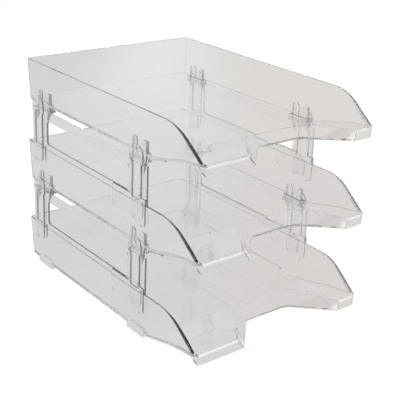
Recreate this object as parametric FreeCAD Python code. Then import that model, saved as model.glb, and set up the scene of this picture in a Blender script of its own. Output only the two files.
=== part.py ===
import FreeCAD, Part
import math
import os
from FreeCAD import Matrix, Vector

# Three-tier letter tray, moulded in clear plastic: three like trays, carried above each
# other by a left and a right riser frame. Millimetres, +Z up, front edge towards -Y.
# The origin lies on the desk, below the middle of the trays.

# Stack
TIERS = ("bottom", "middle", "top")
RISERS = ("lower", "upper")
FIT = 0.3

# Tray shell
WIDTH = 250.0
DEPTH = 357.0
TRAY_HEIGHT = 57.0
WALL = 2.4
FLOOR = 2.4
DRAFT = 2.0
FRONT_CORNER = 9.0
REAR_CORNER = 5.0

# Tray front: curved rim, raised floor and lip
RIM_SLOPE = 37.3
RIM_BREAK = 47.4
RIM_RADIUS = 58.0
LIP_TOP = 26.0
LIP_BOTTOM = 13.4
LIP_ROUND = 5.0
RAMP_RUN = 88.0
RAMP_KNEE = 42.0
RAMP_FALL = 6.1
RAMP_ROUND = 90.0

# Thickening of the side walls along the curved rim, inwards
BEAD_WIDTH = 2.4
BEAD_HEIGHT = 2.4
BEAD_START = 64.0
BEAD_FULL = 20.0

# Finger scoop: upper edge on the raised floor, free edge below it
SCOOP_LEFT_FRONT = -64.5
SCOOP_LEFT_REAR = -3.5
SCOOP_RIGHT_REAR = 88.0
SCOOP_RIGHT_FRONT = 92.5
SCOOP_REAR_LEFT = 78.0
SCOOP_REAR_RIGHT = 84.5
SCOOP_SHARP = 3.0
SCOOP_WIDE = 25.0
EDGE_LEFT_FRONT = -56.0
EDGE_LEFT_REAR = -11.0
EDGE_RIGHT_REAR = 50.0
EDGE_RIGHT_FRONT = 91.0
EDGE_REAR = 47.0
EDGE_FALL = 3.6
EDGE_SHARP = 5.0
EDGE_WIDE = 15.0

# Feet, each round a slot for the prongs of a riser's tab
FOOT_HEIGHT = 6.0
FOOT_WALL = 2.2
FOOT_ROUND = 2.0
FRONT_SOCKET = 114.5
REAR_SOCKET = 320.5

# Riser frame: a plate over the tray wall, with ribbed posts
RISER_HEIGHT = 50.0
SKIN = 1.8
FRONT_POST = 111.0
REAR_POST = 325.0
POST_WIDTH = 34.0
BOTTOM_RAIL = 7.5
TOP_RAIL = 12.0
SHELF_DEPTH = 5.6
WINDOW_ROUND = 4.0

# Hollow rib on each post, running up into a dome and down into a tongue
RIB_WIDTH = 20.0
RIB_SHIFT = 1.5
RIB_MARGIN = 4.0
RIB_ROUND = 9.0
DOME_WIDTH = 25.0
DOME_HEIGHT = 16.0
DOME_ROUND = 11.0
DOME_LAP = 5.0
RIB_TONGUE = 20.0
STAY_LENGTH = 63.0
STAY_DROP = 19.0
STAY_ROUND = 5.0
TOE_WIDTH = 8.5
TOE_DROP = 25.0
TOE_ROUND = 4.0

# Inner tongue of each post, behind the tray wall
INNER_TONGUE = 20.0
INNER_ROUND = 6.0

# Tab of each post: two hollow prongs on a shoulder that carries a foot
TAB_WIDTH = 27.0
TAB_DEPTH = 4.0
TAB_HEIGHT = 22.0
TAB_BASE = 5.0
PRONG_WIDTH = 9.5
PRONG_ROUND = 3.4
GUSSET = 14.0

# Wing ahead of the front post, close below the raised floor of the tray above
WING_REACH = 31.0
WING_ROOT = 4.0
WING_TIP = 1.5

# Room beyond the shell for the cutting solids
OVER = 12.0


def rounded_wire(corners):
    """A closed flat wire through (point, radius) corners, with an arc at each radius."""
    edges = []
    points = []
    count = len(corners)
    for i, (corner, radius) in enumerate(corners):
        back = (corners[i - 1][0] - corner).normalize()
        ahead = (corners[(i + 1) % count][0] - corner).normalize()
        if radius <= 0:
            points.append((corner, None, corner))
            continue
        half = back.getAngle(ahead) / 2
        run = radius / math.tan(half)
        middle = (back + ahead).normalize() * (radius / math.sin(half) - radius)
        points.append((corner + back * run, corner + middle, corner + ahead * run))
    for i, (start, middle, end) in enumerate(points):
        if middle is not None:
            edges.append(Part.Arc(start, middle, end).toShape())
        following = points[(i + 1) % count][0]
        if end.distanceToPoint(following) > 1e-6:
            edges.append(Part.makeLine(end, following))
    return Part.Wire(edges)


def side_prism(corners, x0, x1):
    """A solid from a side view, given as (distance from the front, height, radius)."""
    wire = rounded_wire([(Vector(x0, back - DEPTH / 2, up), r) for back, up, r in corners])
    return Part.Face(wire).extrude(Vector(x1 - x0, 0, 0))


def side_inset(z):
    """How far the drafted side and rear walls stand inside the rim at height z."""
    return DRAFT * (TRAY_HEIGHT - z) / (TRAY_HEIGHT - FOOT_HEIGHT)


def plan_outline(inset, z):
    half = WIDTH / 2 - side_inset(z) - inset
    front = inset - DEPTH / 2
    rear = DEPTH / 2 - side_inset(z) - inset
    return rounded_wire([
        (Vector(-half, front, z), FRONT_CORNER - inset),
        (Vector(half, front, z), FRONT_CORNER - inset),
        (Vector(half, rear, z), REAR_CORNER - inset),
        (Vector(-half, rear, z), REAR_CORNER - inset),
    ])


def plan_solid(inset):
    """The drafted tray outline as a solid, taller than the tray."""
    ends = [plan_outline(inset, -OVER), plan_outline(inset, TRAY_HEIGHT + OVER)]
    return Part.makeLoft(ends, True, True)


def ramp_height(back):
    """Top of the floor, before rounding, at a distance from the front."""
    floor_top = FOOT_HEIGHT + FLOOR
    if back < RAMP_KNEE:
        return LIP_TOP - RAMP_FALL * back / RAMP_KNEE
    knee = LIP_TOP - RAMP_FALL
    return knee + (floor_top - knee) * (back - RAMP_KNEE) / (RAMP_RUN - RAMP_KNEE)


def outer_profile():
    slope_foot = RIM_BREAK - (TRAY_HEIGHT - LIP_TOP) / math.tan(math.radians(RIM_SLOPE))
    return [
        (DEPTH + OVER, FOOT_HEIGHT, 0),
        (DEPTH + OVER, TRAY_HEIGHT, 0),
        (RIM_BREAK, TRAY_HEIGHT, RIM_RADIUS),
        (slope_foot, LIP_TOP, 0),
        (0, LIP_TOP, LIP_ROUND),
        (0, LIP_BOTTOM, 0),
        (WALL, LIP_BOTTOM, 0),
        (FRONT_CORNER, ramp_height(FRONT_CORNER) - FLOOR, 0),
        (RAMP_KNEE, ramp_height(RAMP_KNEE) - FLOOR, RAMP_ROUND),
        (RAMP_RUN, FOOT_HEIGHT, 0),
    ]


def inner_profile():
    """The room above the floor."""
    top = TRAY_HEIGHT + OVER
    floor_top = FOOT_HEIGHT + FLOOR
    return [
        (DEPTH + OVER, floor_top, 0),
        (DEPTH + OVER, top, 0),
        (-OVER, top, 0),
        (-OVER, ramp_height(-OVER), 0),
        (RAMP_KNEE, ramp_height(RAMP_KNEE), RAMP_ROUND),
        (RAMP_RUN, floor_top, 0),
    ]


def lip_profile():
    """The hollow behind the lip, under the floor."""
    back = FRONT_CORNER + OVER
    return [
        (WALL, 0, 0),
        (WALL, ramp_height(WALL) - FLOOR, LIP_ROUND - WALL),
        (back, ramp_height(back) - FLOOR, 0),
        (back, 0, 0),
    ]


def scoop_outline(corners, grow, height, fall):
    """An open-fronted outline in plan, laid on a plane that falls towards the rear."""
    (xa, ya, _), (xb, yb, rb), (xc, yc, rc), (xd, yd, _) = corners
    reach = -OVER
    left = xb + (xa - xb) * (reach - yb) / (ya - yb)
    right = xc + (xd - xc) * (reach - yc) / (yd - yc)
    flat = rounded_wire([
        (Vector(left, reach, 0), 0),
        (Vector(xb, yb, 0), rb),
        (Vector(xc, yc, 0), rc),
        (Vector(right, reach, 0), 0),
    ])
    if grow:
        flat = flat.makeOffset2D(grow)
    shear = Matrix()
    shear.A32 = -fall
    shear.A34 = height
    laid = flat.transformGeometry(shear)
    laid.translate(Vector(0, -DEPTH / 2, 0))
    return laid


def scoop_loft(grow, drop):
    upper = [
        (SCOOP_LEFT_FRONT, 0, 0),
        (SCOOP_LEFT_REAR, SCOOP_REAR_LEFT, SCOOP_SHARP),
        (SCOOP_RIGHT_REAR, SCOOP_REAR_RIGHT, SCOOP_WIDE),
        (SCOOP_RIGHT_FRONT, 0, 0),
    ]
    lower = [
        (EDGE_LEFT_FRONT, 0, 0),
        (EDGE_LEFT_REAR, EDGE_REAR, EDGE_SHARP),
        (EDGE_RIGHT_REAR, EDGE_REAR, EDGE_WIDE),
        (EDGE_RIGHT_FRONT, 0, 0),
    ]
    fall = (LIP_TOP - ramp_height(SCOOP_REAR_LEFT)) / SCOOP_REAR_LEFT
    top = scoop_outline(upper, grow, LIP_TOP - drop, fall)
    edge = scoop_outline(lower, grow, LIP_BOTTOM + FLOOR - drop, EDGE_FALL / EDGE_REAR)
    return top, edge, Part.makeLoft([top, edge], True, True)


def scoop_solids():
    """The band of the scoop with its wall, and what it leaves open."""
    rim, _, band = scoop_loft(WALL, FLOOR)
    top, edge, opening = scoop_loft(0, 0)
    collar = Part.Face(rim).extrude(Vector(0, 0, 2 * FLOOR))
    front = side_prism([
        (0, 0, 0),
        (0, LIP_TOP, LIP_ROUND),
        (RAMP_RUN + OVER, LIP_TOP, 0),
        (RAMP_RUN + OVER, 0, 0),
    ], -WIDTH / 2, WIDTH / 2)
    above = Part.Face(top).extrude(Vector(0, 0, TRAY_HEIGHT))
    below = Part.Face(edge).extrude(Vector(0, 0, -TRAY_HEIGHT))
    return band.fuse(collar).common(front), opening.fuse([above, below])


def socket_span():
    """Outer and inner side of a slot, as distances from the middle."""
    outer = WIDTH / 2 - WALL - side_inset(FOOT_HEIGHT + FLOOR)
    return outer, outer - TAB_DEPTH - 2 * FIT


def socket(centre, side):
    """One foot below the floor, and the slot through both."""
    outer, inner = socket_span()
    half = TAB_WIDTH / 2 + FIT
    front = centre - half - DEPTH / 2
    rear = centre + half - DEPTH / 2
    foot = rounded_wire([
        (Vector(side * (WIDTH / 2 - DRAFT), front - FOOT_WALL, 0), 0),
        (Vector(side * (WIDTH / 2 - DRAFT), rear + FOOT_WALL, 0), 0),
        (Vector(side * (inner - FOOT_WALL), rear + FOOT_WALL, 0), FOOT_ROUND),
        (Vector(side * (inner - FOOT_WALL), front - FOOT_WALL, 0), FOOT_ROUND),
    ])
    foot = Part.Face(foot).extrude(Vector(0, 0, FOOT_HEIGHT + FLOOR / 2))
    slot = side_prism([
        (centre - half, -OVER, 0),
        (centre - half, TRAY_HEIGHT, 0),
        (centre + half, TRAY_HEIGHT, 0),
        (centre + half, -OVER, 0),
    ], side * outer, side * inner)
    return foot, slot


def rim_bead(side, body):
    """The thickening below the curved rim of one side, cut from the tray's full body."""
    near = side * (WIDTH / 2 - WALL / 2)
    far = side * (WIDTH / 2 - WALL - BEAD_WIDTH)
    outline = Part.makePolygon([
        Vector(near, BEAD_START - DEPTH / 2, 0),
        Vector(far, BEAD_FULL - DEPTH / 2, 0),
        Vector(far, -DEPTH / 2, 0),
        Vector(near, -DEPTH / 2, 0),
        Vector(near, BEAD_START - DEPTH / 2, 0),
    ])
    lower = body.copy()
    lower.translate(Vector(0, 0, -BEAD_HEIGHT))
    strip = Part.Face(outline).extrude(Vector(0, 0, TRAY_HEIGHT))
    return strip.common(body).cut(lower)


def make_tray():
    outline = plan_solid(0)
    cavity = plan_solid(WALL)
    reach = WIDTH
    room = side_prism(inner_profile(), -reach, reach).common(cavity)
    body = side_prism(outer_profile(), -reach, reach).common(outline)
    beads = [rim_bead(side, body) for side in (-1, 1)]
    shell = body.cut(side_prism(lip_profile(), -reach, reach).common(cavity))
    band, opening = scoop_solids()
    shell = shell.fuse(band.common(outline)).cut([room, opening])
    feet = []
    slots = []
    for centre in (FRONT_SOCKET, REAR_SOCKET):
        for side in (-1, 1):
            foot, slot = socket(centre, side)
            feet.append(foot)
            slots.append(slot)
    return shell.fuse(beads + feet).cut(slots).removeSplitter()


def upright(low, high, front, rear, near, far, low_round=0, high_round=0):
    """A plate seen from the side, with rounded lower and upper corners."""
    return side_prism([
        (front, low, low_round),
        (front, high, high_round),
        (rear, high, high_round),
        (rear, low, low_round),
    ], near, far)


def post_rib(post, plate_out, skin_in, skin_out):
    """The proud rib of a post with its dome: the solid, and the groove that hollows it."""
    centre = post + RIB_SHIFT
    front = centre - RIB_WIDTH / 2
    rear = centre + RIB_WIDTH / 2
    rib = upright(-RIB_TONGUE, RISER_HEIGHT, front, rear, skin_in, skin_out, RIB_ROUND)
    dome = upright(RISER_HEIGHT - DOME_LAP, RISER_HEIGHT + DOME_HEIGHT,
                   centre - DOME_WIDTH / 2, centre + DOME_WIDTH / 2, skin_in, skin_out,
                   0, DOME_ROUND)
    root = upright(0, RISER_HEIGHT, front, rear, plate_out, skin_in)
    groove = upright(RIB_MARGIN, RISER_HEIGHT - RIB_MARGIN, front + SKIN, rear - SKIN,
                     plate_out - WALL, skin_in)
    return rib.fuse([dome, root]), groove


def inner_tongue(post, plate_in):
    """The tongue that goes down behind the tray wall, and the web that holds it."""
    centre = post + RIB_SHIFT
    front = centre - RIB_WIDTH / 2
    rear = centre + RIB_WIDTH / 2
    tongue_out = WIDTH / 2 - WALL - side_inset(TRAY_HEIGHT - INNER_TONGUE) - FIT
    tongue_in = tongue_out - SKIN
    web = upright(0, SKIN, front, rear, tongue_in, plate_in)
    return web.fuse(upright(-INNER_TONGUE, 0, front, rear, tongue_in, tongue_out, INNER_ROUND))


def gusset(y, tab_in, plate_in):
    """A small corner bracket below the shoulder."""
    corners = [
        Vector(tab_in, y - DEPTH / 2, RISER_HEIGHT - SKIN),
        Vector(plate_in, y - DEPTH / 2, RISER_HEIGHT - SKIN),
        Vector(plate_in, y - DEPTH / 2, RISER_HEIGHT - SKIN - GUSSET),
    ]
    return Part.Face(Part.makePolygon(corners + corners[:1])).extrude(Vector(0, SKIN, 0))


def tab(centre, plate_in, tab_in, tab_out):
    """The shoulder that carries a foot of the tray above, and the prongs inside it."""
    front = centre - TAB_WIDTH / 2
    rear = centre + TAB_WIDTH / 2
    skirt = FIT + FOOT_WALL
    low = RISER_HEIGHT - SKIN
    top = RISER_HEIGHT + TAB_HEIGHT
    shoulder = upright(low, RISER_HEIGHT, front - skirt, rear + skirt, tab_in - skirt, plate_in)
    base = RISER_HEIGHT + TAB_BASE
    pieces = [
        upright(low, base + PRONG_ROUND, front, rear, tab_out - SKIN, tab_out),
        upright(low, top, front, front + PRONG_WIDTH, tab_in, tab_out, 0, PRONG_ROUND),
        upright(low, top, rear - PRONG_WIDTH, rear, tab_in, tab_out, 0, PRONG_ROUND),
        gusset(front, tab_in, plate_in),
        gusset(rear - SKIN, tab_in, plate_in),
    ]
    hollow = upright(RISER_HEIGHT, top + OVER, front + SKIN, rear - SKIN, tab_in,
                     tab_out - SKIN)
    gap = upright(base, top + OVER, front + PRONG_WIDTH, rear - PRONG_WIDTH, tab_in, tab_out,
                  PRONG_ROUND)
    return shoulder.fuse(pieces).cut([hollow, gap])


def wing(front, plate_in, plate_out):
    """The wing of the plate that follows the raised floor forwards."""
    tip = front - WING_REACH
    high = RISER_HEIGHT + FOOT_HEIGHT - FIT
    tip_high = RISER_HEIGHT + ramp_height(tip) - FLOOR - FIT
    return side_prism([
        (front, RISER_HEIGHT - WING_ROOT, 0),
        (front, high, 0),
        (RAMP_RUN, high, 0),
        (tip, tip_high, 0),
        (tip, tip_high - WING_TIP, 0),
    ], plate_in, plate_out)


def make_riser():
    """The right-hand riser, with z = 0 at the rim that it stands on."""
    plate_out = WIDTH / 2
    plate_in = plate_out - WALL
    skin_in = plate_out + FIT
    skin_out = skin_in + SKIN
    slot_out, slot_in = socket_span()
    half = POST_WIDTH / 2
    front = FRONT_POST - half
    rear = REAR_POST + half
    window = (BOTTOM_RAIL, RISER_HEIGHT - TOP_RAIL, FRONT_POST + half, REAR_POST - half)
    plate = upright(0, RISER_HEIGHT, front, rear, plate_in, plate_out)
    plate = plate.cut(upright(*window, plate_in, plate_out, WINDOW_ROUND, WINDOW_ROUND))
    pieces = [upright(BOTTOM_RAIL - SKIN, BOTTOM_RAIL, FRONT_POST, REAR_POST,
                      plate_out - SHELF_DEPTH, plate_in)]
    pieces.append(wing(front, plate_in, plate_out))
    pieces.append(upright(-STAY_DROP, BOTTOM_RAIL, front, front + STAY_LENGTH,
                          skin_in, skin_out, STAY_ROUND))
    pieces.append(upright(0, BOTTOM_RAIL, front, front + STAY_LENGTH, plate_out, skin_in))
    pieces.append(upright(-TOE_DROP, 0, front, front + TOE_WIDTH, skin_in, skin_out,
                          TOE_ROUND))
    grooves = []
    for post, centre in ((FRONT_POST, FRONT_SOCKET), (REAR_POST, REAR_SOCKET)):
        rib, groove = post_rib(post, plate_out, skin_in, skin_out)
        grooves.append(groove)
        pieces.append(rib)
        pieces.append(inner_tongue(post, plate_in))
        pieces.append(tab(centre, plate_in, slot_in + FIT, slot_out - FIT))
    return plate.fuse(pieces).cut(grooves).removeSplitter()


def place(shape, level, name):
    copy = shape.copy()
    copy.translate(Vector(0, 0, level))
    copy.exportStep(os.path.join("parts", name + ".step"))


def main():
    os.makedirs("parts", exist_ok=True)
    pitch = TRAY_HEIGHT + RISER_HEIGHT
    tray = make_tray()
    for i, tier in enumerate(TIERS):
        place(tray, i * pitch, "tray_" + tier)
    right = make_riser()
    left = right.mirror(Vector(0, 0, 0), Vector(1, 0, 0))
    for i, tier in enumerate(RISERS):
        rim = i * pitch + TRAY_HEIGHT
        place(left, rim, "riser_" + tier + "_left")
        place(right, rim, "riser_" + tier + "_right")


main()
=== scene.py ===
"""Looks of the three-tier letter tray: clear moulded plastic in a white studio."""

import math

import bpy
from mathutils import Matrix, Vector

# Camera, from the camera fitted to the photograph's rims and posts
CAMERA_PLACE = (-0.65682, -0.82785, 0.55183)
CAMERA_AZIMUTH = -39.07
CAMERA_ELEVATION = 19.98
CAMERA_ROLL = 2.48
CAMERA_LENS = 82.93
CAMERA_SHIFT = -0.1
CAMERA_CLIP = (0.01, 100)
SENSOR = 36.0

# Studio: a glowing floor, an even light, and a room that is seen in and through the
# plastic. The room is cool on the left, warm on the right, lighter far away except on the
# far left, and dark overhead. ACROSS and DEEP are level directions, to the right and away.
# Each span gives the two places between which one tone turns into the next.
FLOOR_HALF = 12.0
FLOOR_COLOR = (0.95, 0.95, 0.95, 1)
FLOOR_GLOW = 0.85
WORLD_LIGHT = 0.9
WHITE = (1, 1, 1, 1)
NEAR_COOL = (0.59, 0.577, 0.605, 1)
NEAR_WARM = (0.615, 0.577, 0.56, 1)
FAR_COOL = (0.765, 0.76, 0.785, 1)
FAR_WARM = (0.675, 0.647, 0.602, 1)
ACROSS = (0.777, -0.629)
DEEP = (0.629, 0.777)
WARM_SPAN = (-0.08, 0.15)
FAR_SPAN = (0.2, 1.05)
LIT_SPAN = (-0.36, -0.1)
CEILING_SPAN = (0.5, 0.75)
CEILING_COLOR = (0.03, 0.03, 0.035, 1)
BOUNCES = 40

# Lamps
LAMP_TARGET = (0, 0, 0.1)
KEY_PLACE = (-1.2, -0.8, 2.2)
KEY_SIZE = 1.2
KEY_POWER = 30
FILL_PLACE = (1.8, -1.0, 1.4)
FILL_SIZE = 1.5
FILL_POWER = 15

# Plastic: index of refraction, share of light that scatters at a surface, tint of the
# surfaces, how the tint and shine drift over a piece, slow waves of the moulding, share
# of the lamps' light that passes, and how light fades inside the plastic
PLASTIC_IOR = 1.59
HAZE = 0.015
TINT_LIGHT = (0.985, 0.985, 0.985, 1)
TINT_DARK = (0.955, 0.955, 0.96, 1)
TINT_SCALE = 9.0
TINT_DETAIL = 2.0
SHINE_SCALE = 60.0
SHINE_DETAIL = 4.0
SHINE_SPAN = (0.3, 0.7)
ROUGHNESS = (0.01, 0.045)
WAVE_SCALE = 14.0
WAVE_DETAIL = 1.0
WAVE_HEIGHT = 0.0004
LAMP_SHARE = (0.95, 0.95, 0.95, 1)
ABSORPTION = 1.2
ABSORPTION_COLOR = (0.30, 0.30, 0.32, 1)

# Painted shade: faces that trap the light and look dark are painted darker, more so on the
# left: the trays' side rims, most where they slope and least where they begin to, and the
# faces of the posts that look forwards or backwards. The rims lie beyond RIM_INSIDE from the
# middle and face up by more than RIM_UP. A span of slopes is given as the forward share of a
# face's direction.
PAINTED_SHADE_COLOR = (0.03, 0.03, 0.035, 1)
PAINTED_SHADE_SIDE_SHARE = (1.0, 0.45)
RIM_INSIDE = 0.1195
RIM_UP = 0.5
RIM_LEVEL = (0.0, 0.04)
RIM_SLOPE = (0.2, 0.4)
RIM_LEVEL_SHARE = 0.5
RIM_TURN_SHARE = 0.2
RIM_SLOPE_SHARE = 0.95
POST_SLOPE = (0.80, 0.95)
POST_SHARE = 0.75

# Painted highlight: the rounded top of a tray's lip, which catches the light, is made paler by
# letting less light through: it lies ahead of LIP_BACK, and the spans say where the painted
# highlight begins and ends as the face turns up
LIP_BACK = -0.172
LIP_TURN = (-0.98, -0.7)
LIP_UP = (-0.6, -0.05)
LIP_HIGHLIGHT_SHARE = 0.25


def new_material(name):
    material = bpy.data.materials.new(name)
    material.use_nodes = True
    material.node_tree.nodes.clear()
    return material


def add(tree, kind, **values):
    """A node, with some of its sockets set by name."""
    node = tree.nodes.new(kind)
    for socket, value in values.items():
        node.inputs[socket.replace("_", " ")].default_value = value
    return node


def math_node(tree, operation, a, b=0.0):
    node = tree.nodes.new("ShaderNodeMath")
    node.operation = operation
    for socket, value in zip(node.inputs, (a, b)):
        if isinstance(value, (int, float)):
            socket.default_value = value
        else:
            tree.links.new(value, socket)
    return node.outputs[0]


def seen_ray(tree):
    """1 for rays that show the background: straight, mirrored or through the plastic."""
    path = tree.nodes.new("ShaderNodeLightPath")
    mirrored = math_node(
        tree, "MAXIMUM", path.outputs["Is Glossy Ray"], path.outputs["Is Transmission Ray"]
    )
    return math_node(tree, "MAXIMUM", path.outputs["Is Camera Ray"], mirrored)


def mix_shaders(tree, factor, first, second):
    mix = tree.nodes.new("ShaderNodeMixShader")
    for socket, value in zip(mix.inputs, (factor, first, second)):
        tree.links.new(value, socket)
    return mix.outputs[0]


def blend(tree, factor, first, second):
    """A colour between two, each given as a colour or as a socket."""
    mix = tree.nodes.new("ShaderNodeMix")
    mix.data_type = "RGBA"
    tree.links.new(factor, mix.inputs["Factor"])
    for socket, value in ((mix.inputs["A"], first), (mix.inputs["B"], second)):
        if isinstance(value, tuple):
            socket.default_value = value
        else:
            tree.links.new(value, socket)
    return mix.outputs["Result"]


def map_range(tree, value, start, end, low=0.0, high=1.0):
    """A smooth step from low to high, while value goes from start to end."""
    node = tree.nodes.new("ShaderNodeMapRange")
    node.interpolation_type = "SMOOTHSTEP"
    limits = (("From Min", start), ("From Max", end), ("To Min", low), ("To Max", high))
    for socket, limit in limits:
        node.inputs[socket].default_value = limit
    tree.links.new(value, node.inputs["Value"])
    return node.outputs[0]


def noise(tree, scale, detail):
    """Soft patches of 0 to 1 that stay with the piece."""
    place = tree.nodes.new("ShaderNodeTexCoord")
    node = add(tree, "ShaderNodeTexNoise", Scale=scale, Detail=detail)
    tree.links.new(place.outputs["Object"], node.inputs["Vector"])
    return node.outputs[0]


def shape(tree):
    """A point's place and facing on its piece, as separate X, Y and Z."""
    node = tree.nodes.new("ShaderNodeTexCoord")
    place = tree.nodes.new("ShaderNodeSeparateXYZ")
    facing = tree.nodes.new("ShaderNodeSeparateXYZ")
    tree.links.new(node.outputs["Object"], place.inputs[0])
    tree.links.new(node.outputs["Normal"], facing.inputs[0])
    return place.outputs, facing.outputs


def painted_shade_by_side(tree, place, value):
    """A painted shade, with less of it the further right a point is."""
    share = map_range(tree, place["X"], -RIM_INSIDE, RIM_INSIDE, *PAINTED_SHADE_SIDE_SHARE)
    return math_node(tree, "MULTIPLY", share, value)


def painted_rim_shade(tree):
    """How much painted shade a tray has at its side rims."""
    place, facing = shape(tree)
    side = math_node(tree, "GREATER_THAN", math_node(tree, "ABSOLUTE", place["X"]), RIM_INSIDE)
    up = math_node(tree, "GREATER_THAN", facing["Z"], RIM_UP)
    slope = math_node(tree, "MULTIPLY", facing["Y"], -1.0)
    level = map_range(tree, slope, *RIM_LEVEL, RIM_LEVEL_SHARE, 0.0)
    steep = map_range(tree, slope, *RIM_SLOPE, RIM_TURN_SHARE, RIM_SLOPE_SHARE)
    rim = math_node(tree, "MULTIPLY", side, up)
    dark = math_node(tree, "MULTIPLY", rim, math_node(tree, "ADD", level, steep))
    return painted_shade_by_side(tree, place, dark)


def painted_post_shade(tree):
    """How much painted shade a riser has on the faces that look forwards or backwards."""
    place, facing = shape(tree)
    slope = map_range(tree, math_node(tree, "ABSOLUTE", facing["Y"]), *POST_SLOPE)
    return painted_shade_by_side(tree, place, math_node(tree, "MULTIPLY", slope, POST_SHARE))


def painted_lip_highlight(tree):
    """How much painted highlight a tray has on the rounded top of its lip."""
    place, facing = shape(tree)
    front = math_node(tree, "LESS_THAN", place["Y"], LIP_BACK)
    up = math_node(tree, "GREATER_THAN", facing["Z"], 0.0)
    turn = map_range(tree, facing["Y"], *LIP_TURN)
    level = map_range(tree, facing["Y"], *LIP_UP, 1.0, 0.0)
    lip = math_node(tree, "MULTIPLY", front, up)
    return math_node(tree, "MULTIPLY", lip, math_node(tree, "MULTIPLY", turn, level))


def plastic(name, painted_shade, painted_highlight=None):
    """Clear moulded plastic: refracting, a little hazy, with painted shade where the shade
    mask is 1, and a painted highlight, made by letting less light through, where the highlight
    mask is 1."""
    material = new_material(name)
    tree = material.node_tree
    output = tree.nodes.new("ShaderNodeOutputMaterial")
    clear = add(
        tree, "ShaderNodeBsdfPrincipled", IOR=PLASTIC_IOR, Transmission_Weight=1 - HAZE
    )
    # Painted highlight: less light passes through where the lip mask is 1, so the plastic
    # looks paler there.
    if painted_highlight is not None:
        highlight_cut = math_node(tree, "MULTIPLY", painted_highlight(tree), -LIP_HIGHLIGHT_SHARE)
        passed = math_node(tree, "ADD", highlight_cut, 1 - HAZE)
        tree.links.new(passed, clear.inputs["Transmission Weight"])
    tint = blend(tree, noise(tree, TINT_SCALE, TINT_DETAIL), TINT_DARK, TINT_LIGHT)
    # Painted shade: the colour turns towards near-black where the shade mask is 1.
    tree.links.new(blend(tree, painted_shade(tree), tint, PAINTED_SHADE_COLOR), clear.inputs["Base Color"])
    shine = noise(tree, SHINE_SCALE, SHINE_DETAIL)
    rough = map_range(tree, shine, *SHINE_SPAN, *ROUGHNESS)
    tree.links.new(rough, clear.inputs["Roughness"])
    waves = add(tree, "ShaderNodeBump", Distance=WAVE_HEIGHT)
    tree.links.new(noise(tree, WAVE_SCALE, WAVE_DETAIL), waves.inputs["Height"])
    tree.links.new(waves.outputs[0], clear.inputs["Normal"])
    through = add(tree, "ShaderNodeBsdfTransparent", Color=LAMP_SHARE)
    path = tree.nodes.new("ShaderNodeLightPath")
    lamps = math_node(
        tree, "MAXIMUM", path.outputs["Is Shadow Ray"], path.outputs["Is Diffuse Ray"]
    )
    surface = mix_shaders(tree, lamps, clear.outputs[0], through.outputs[0])
    tree.links.new(surface, output.inputs["Surface"])
    body = add(
        tree, "ShaderNodeVolumeAbsorption", Density=ABSORPTION, Color=ABSORPTION_COLOR
    )
    tree.links.new(body.outputs[0], output.inputs["Volume"])
    return material


def dress(node, material):
    node.data.materials.clear()
    node.data.materials.append(material)


def along(tree, place, direction):
    """How far a place lies along a level direction."""
    share_x = math_node(tree, "MULTIPLY", place.outputs["X"], direction[0])
    share_y = math_node(tree, "MULTIPLY", place.outputs["Y"], direction[1])
    return math_node(tree, "ADD", share_x, share_y)


def backdrop(tree, place):
    """The studio's tone at a place, and 1 where it is seen straight, to be shown white."""
    across = along(tree, place, ACROSS)
    warm = map_range(tree, across, *WARM_SPAN)
    near = blend(tree, warm, NEAR_COOL, NEAR_WARM)
    far = blend(tree, warm, FAR_COOL, FAR_WARM)
    depth = map_range(tree, along(tree, place, DEEP), *FAR_SPAN)
    lit = map_range(tree, across, *LIT_SPAN)
    studio = blend(tree, math_node(tree, "MULTIPLY", depth, lit), near, far)
    straight = tree.nodes.new("ShaderNodeLightPath").outputs["Is Camera Ray"]
    return studio, straight


def make_world():
    """An even light: the room in and through plastic, and white where seen straight."""
    world = bpy.data.worlds.new("studio")
    bpy.context.scene.world = world
    world.use_nodes = True
    tree = world.node_tree
    tree.nodes.clear()
    place = tree.nodes.new("ShaderNodeTexCoord")
    split = tree.nodes.new("ShaderNodeSeparateXYZ")
    tree.links.new(place.outputs["Generated"], split.inputs[0])
    studio, straight = backdrop(tree, split)
    up = map_range(tree, split.outputs["Z"], *CEILING_SPAN)
    room = blend(tree, up, studio, CEILING_COLOR)
    light = add(tree, "ShaderNodeBackground", Strength=WORLD_LIGHT, Color=WHITE)
    seen = tree.nodes.new("ShaderNodeBackground")
    tree.links.new(blend(tree, straight, room, WHITE), seen.inputs["Color"])
    output = tree.nodes.new("ShaderNodeOutputWorld")
    surface = mix_shaders(tree, seen_ray(tree), light.outputs[0], seen.outputs[0])
    tree.links.new(surface, output.inputs["Surface"])


def make_floor():
    """A level floor that the lamps light, and that mostly glows with the room's tone
    in and through plastic, and white where seen straight."""
    mesh = bpy.data.meshes.new("floor")
    half = FLOOR_HALF
    corners = [(-half, -half, 0), (half, -half, 0), (half, half, 0), (-half, half, 0)]
    mesh.from_pydata(corners, [], [(0, 1, 2, 3)])
    floor = bpy.data.objects.new("floor", mesh)
    bpy.context.scene.collection.objects.link(floor)
    material = new_material("floor")
    tree = material.node_tree
    output = tree.nodes.new("ShaderNodeOutputMaterial")
    place = tree.nodes.new("ShaderNodeTexCoord")
    split = tree.nodes.new("ShaderNodeSeparateXYZ")
    tree.links.new(place.outputs["Object"], split.inputs[0])
    studio, straight = backdrop(tree, split)
    paint = add(tree, "ShaderNodeBsdfDiffuse", Color=FLOOR_COLOR)
    glow = tree.nodes.new("ShaderNodeEmission")
    tree.links.new(blend(tree, straight, studio, WHITE), glow.inputs["Color"])
    share = math_node(tree, "MULTIPLY", seen_ray(tree), FLOOR_GLOW)
    surface = mix_shaders(tree, share, paint.outputs[0], glow.outputs[0])
    tree.links.new(surface, output.inputs["Surface"])
    dress(floor, material)


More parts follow.
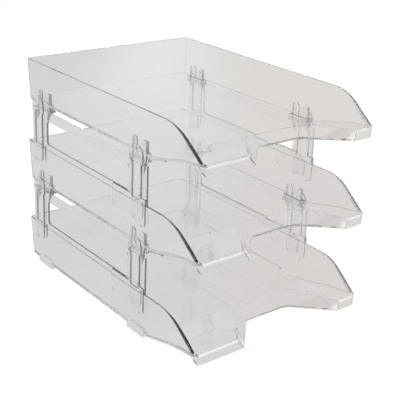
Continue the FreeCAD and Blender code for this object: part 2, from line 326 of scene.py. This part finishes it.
def area_lamp(name, place, size, power):
    """A square lamp that lights the scene but isn't seen in or through the plastic."""
    data = bpy.data.lights.new(name, "AREA")
    data.shape = "SQUARE"
    data.size = size
    data.energy = power
    lamp = bpy.data.objects.new(name, data)
    bpy.context.scene.collection.objects.link(lamp)
    lamp.location = place
    lamp.visible_transmission = False
    lamp.visible_glossy = False
    aim = Vector(LAMP_TARGET) - Vector(place)
    lamp.rotation_euler = aim.to_track_quat("-Z", "Y").to_euler()


def make_camera():
    data = bpy.data.cameras.new("camera")
    data.lens = CAMERA_LENS
    data.sensor_width = SENSOR
    data.shift_y = CAMERA_SHIFT
    data.clip_start, data.clip_end = CAMERA_CLIP
    camera = bpy.data.objects.new("camera", data)
    bpy.context.scene.collection.objects.link(camera)
    azimuth = math.radians(CAMERA_AZIMUTH)
    elevation = math.radians(CAMERA_ELEVATION)
    back = Vector((
        math.sin(azimuth) * math.cos(elevation),
        -math.cos(azimuth) * math.cos(elevation),
        math.sin(elevation),
    ))
    right = Vector((math.cos(azimuth), math.sin(azimuth), 0))
    turned = Matrix((right, back.cross(right), back)).transposed()
    roll = Matrix.Rotation(math.radians(CAMERA_ROLL), 3, "Z")
    camera.rotation_euler = (turned @ roll).to_euler()
    camera.location = CAMERA_PLACE
    bpy.context.scene.camera = camera


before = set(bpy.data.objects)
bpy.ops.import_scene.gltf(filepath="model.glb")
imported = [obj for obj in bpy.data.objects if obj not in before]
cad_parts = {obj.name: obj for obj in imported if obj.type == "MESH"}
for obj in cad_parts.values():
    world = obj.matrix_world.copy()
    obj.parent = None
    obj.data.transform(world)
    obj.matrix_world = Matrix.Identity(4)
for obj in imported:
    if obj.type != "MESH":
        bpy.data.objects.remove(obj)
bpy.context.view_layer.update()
scene = bpy.context.scene
scene.view_settings.view_transform = "Standard"
scene.cycles.max_bounces = BOUNCES
scene.cycles.transmission_bounces = BOUNCES
scene.cycles.glossy_bounces = BOUNCES
scene.cycles.transparent_max_bounces = BOUNCES

# The trays get painted shade on their side rims and a painted highlight on their lips; the
# risers get painted shade on their posts.
tray_plastic = plastic("clear_tray", painted_rim_shade, painted_lip_highlight)
riser_plastic = plastic("clear_riser", painted_post_shade)
for name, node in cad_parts.items():
    dress(node, tray_plastic if name.startswith("tray") else riser_plastic)

make_world()
make_floor()
make_camera()
area_lamp("key", KEY_PLACE, KEY_SIZE, KEY_POWER)
area_lamp("fill", FILL_PLACE, FILL_SIZE, FILL_POWER)
